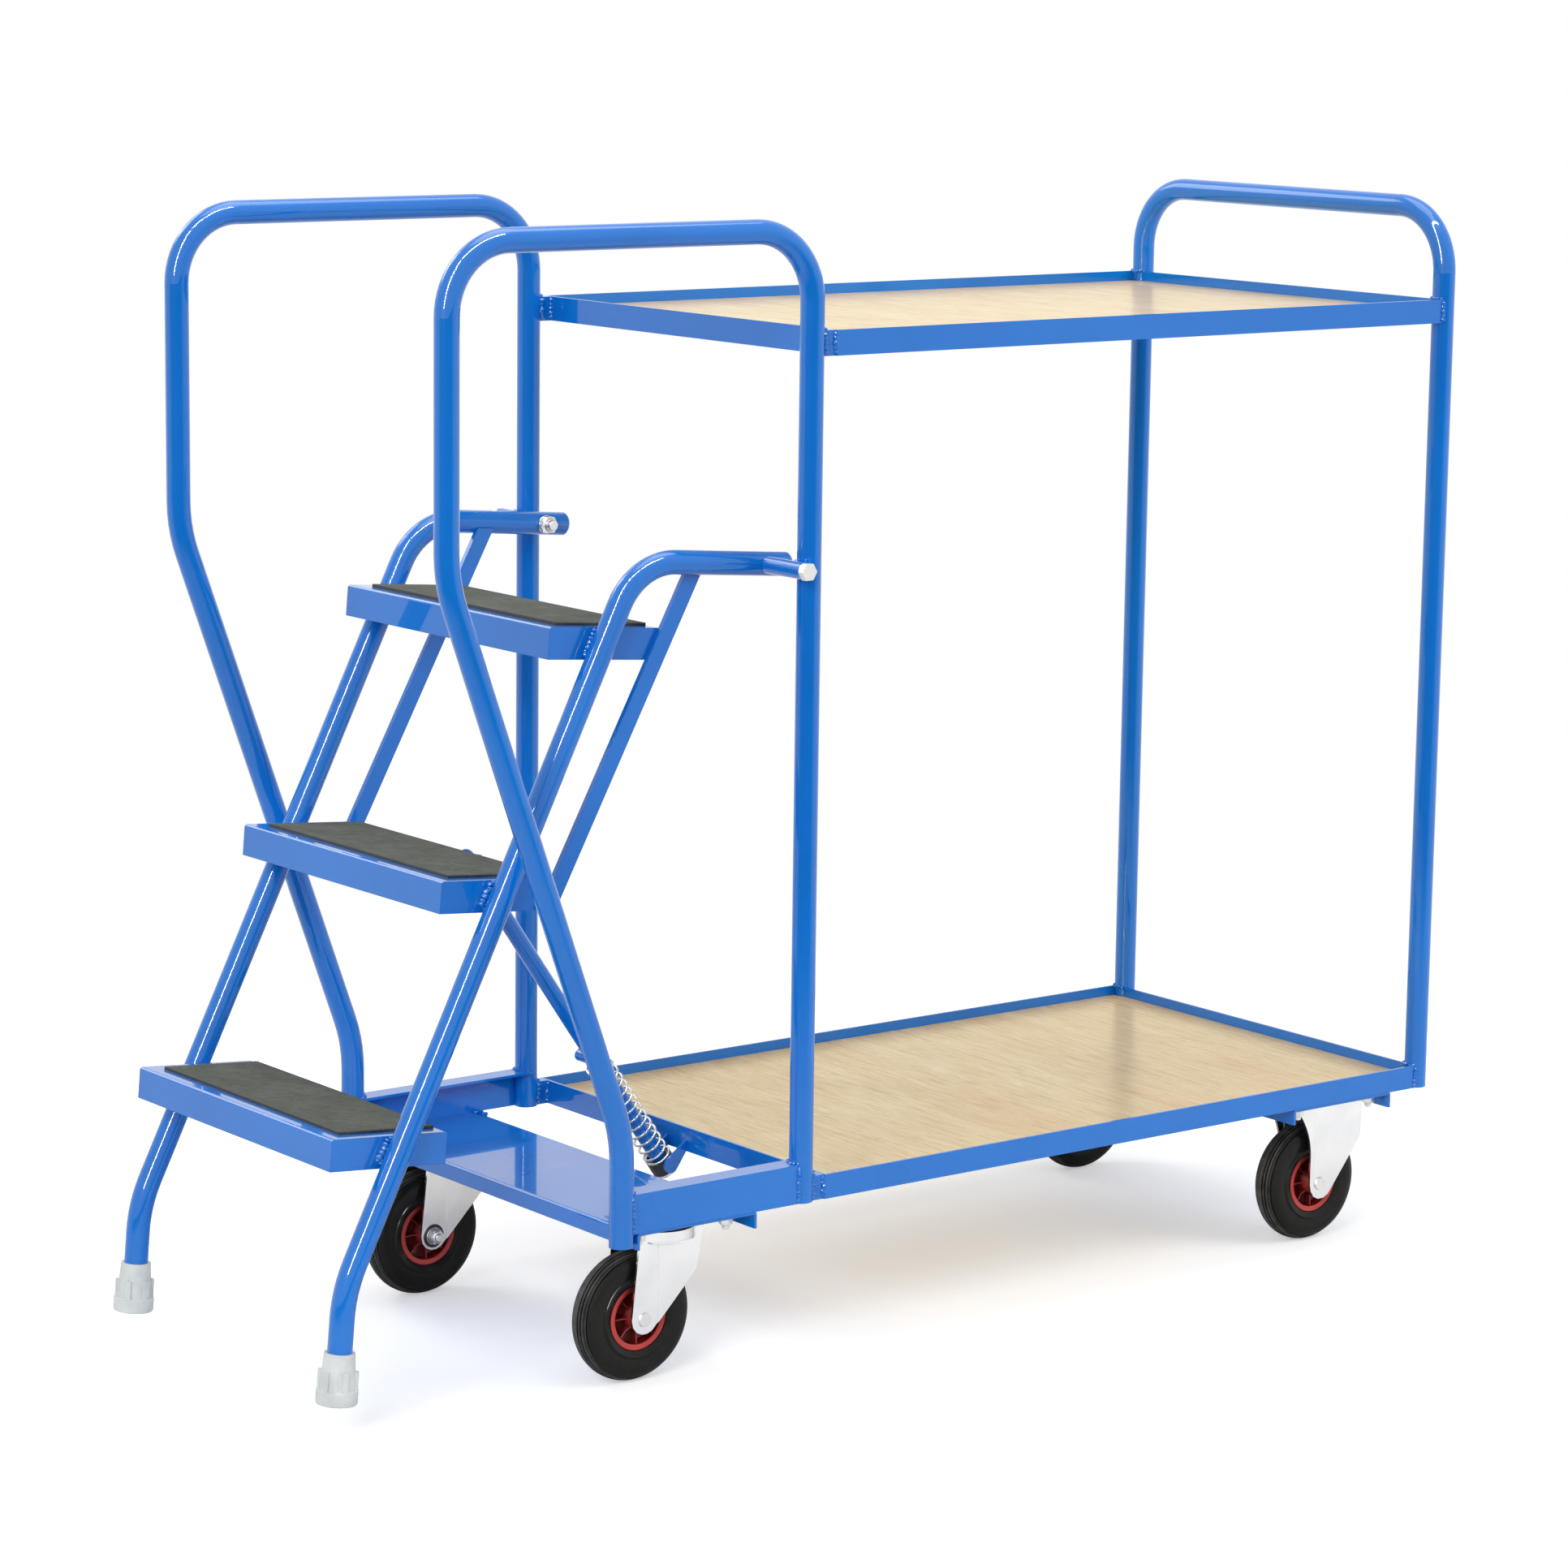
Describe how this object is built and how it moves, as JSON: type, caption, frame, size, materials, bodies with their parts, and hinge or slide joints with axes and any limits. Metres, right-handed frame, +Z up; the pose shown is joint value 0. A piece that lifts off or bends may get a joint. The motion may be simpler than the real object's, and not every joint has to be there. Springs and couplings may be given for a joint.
{
  "type": "tray trolley with steps",
  "caption": "Tubular steel picking trolley with plywood trays above each other, grab hoops and a sprung folding-tread step unit at one end, on swivel and fixed castors.",
  "frame": {"origin": "Bottom centre of the box round the whole trolley, on the floor.", "axes": "+X points from the step end to the handle end, +Y across the trolley, +Z up."},
  "size_m": [1.4787, 0.566, 1.204],
  "materials": {
    "frame_blue": "gloss powder coat",
    "step_blue": "gloss powder coat",
    "plywood": "clear sealed plywood",
    "zinc": "bright zinc plate",
    "spring_steel": "bright spring wire",
    "tyre": "black rubber",
    "wheel_red": "satin moulded plastic",
    "mat": "ribbed rubber mat",
    "ferrule": "pale grey rubber",
    "bush": "black hard rubber"
  },
  "bodies": {
    "frame": {"side_hoop_near": "frame_blue", "side_hoop_far": "frame_blue", "end_hoop": "frame_blue", "top_tray_rim": "frame_blue", "bottom_tray_rim": "frame_blue", "top_board": "plywood", "bottom_board": "plywood", "top_cleats": "frame_blue", "bottom_cleats": "frame_blue", "extension_rails": "frame_blue", "front_channel": "frame_blue", "rear_channel": "frame_blue", "pivot_bosses": "frame_blue", "pivot_bolts": "zinc", "guide_cheeks": "frame_blue", "swivel_plates": "zinc", "fixed_fork_near": "zinc", "fixed_fork_far": "zinc", "fixed_axles": "zinc"},
    "step_unit": {"stringer_near": "step_blue", "stringer_far": "step_blue", "ferrule_near": "ferrule", "ferrule_far": "ferrule", "tread_1": "step_blue", "tread_2": "step_blue", "tread_3": "step_blue", "mat_1": "mat", "mat_2": "mat", "mat_3": "mat", "rear_bars": "step_blue", "strut_lug": "step_blue", "strut_pin": "zinc"},
    "strut": {"strut_tube": "step_blue", "cross_pin": "step_blue", "spring_washer": "zinc", "stop_collar": "zinc", "spring": "spring_steel"},
    "guide": {"guide_block": "bush", "guide_trunnions": "frame_blue"},
    "fork_near": {"swivel_fork_near": "zinc", "swivel_axle_near": "zinc"},
    "fork_far": {"swivel_fork_far": "zinc", "swivel_axle_far": "zinc"},
    "front_wheel_near": {"tyre_front_near": "tyre", "wheel_front_near": "wheel_red"},
    "front_wheel_far": {"tyre_front_far": "tyre", "wheel_front_far": "wheel_red"},
    "rear_wheel_near": {"tyre_rear_near": "tyre", "wheel_rear_near": "wheel_red"},
    "rear_wheel_far": {"tyre_rear_far": "tyre", "wheel_rear_far": "wheel_red"}
  },
  "joints": [
    {"name": "step_hinge", "type": "hinge", "parent": "frame", "child": "step_unit", "pos_m": [-0.19895, 0, 0.8463], "axis": [0, -1, 0], "range_deg": [0, 4.7], "stiffness_Nm_per_rad": 600, "springref_deg": -5.73},
    {"name": "strut_hinge", "type": "hinge", "parent": "step_unit", "child": "strut", "pos_m": [-0.42422, 0, 0.52267], "axis": [0, -1, 0], "range_deg": [-6.8, 0.3], "deforming": ["spring"]},
    {"name": "guide_hinge", "type": "hinge", "parent": "frame", "child": "guide", "pos_m": [-0.17225, 0, 0.1633], "axis": [0, -1, 0], "range_deg": [-2.2, 0.3]},
    {"name": "swivel_near", "type": "hinge", "parent": "frame", "child": "fork_near", "pos_m": [-0.32195, -0.198, 0.163], "axis": [0, 0, 1], "continuous": true},
    {"name": "swivel_far", "type": "hinge", "parent": "frame", "child": "fork_far", "pos_m": [-0.32195, 0.198, 0.163], "axis": [0, 0, 1], "continuous": true},
    {"name": "front_wheel_near_spin", "type": "hinge", "parent": "fork_near", "child": "front_wheel_near", "pos_m": [-0.35625, -0.198, 0.07], "axis": [0, 1, 0], "continuous": true},
    {"name": "front_wheel_far_spin", "type": "hinge", "parent": "fork_far", "child": "front_wheel_far", "pos_m": [-0.35625, 0.198, 0.07], "axis": [0, 1, 0], "continuous": true},
    {"name": "rear_wheel_near_spin", "type": "hinge", "parent": "frame", "child": "rear_wheel_near", "pos_m": [0.60775, -0.198, 0.07], "axis": [0, 1, 0], "continuous": true},
    {"name": "rear_wheel_far_spin", "type": "hinge", "parent": "frame", "child": "rear_wheel_far", "pos_m": [0.60775, 0.198, 0.07], "axis": [0, 1, 0], "continuous": true}
  ],
  "couplings": [
    {"joint": "strut_hinge", "follows": "step_hinge", "ratio": -1.3576},
    {"joint": "guide_hinge", "follows": "step_hinge", "ratio": -0.3576}
  ]
}
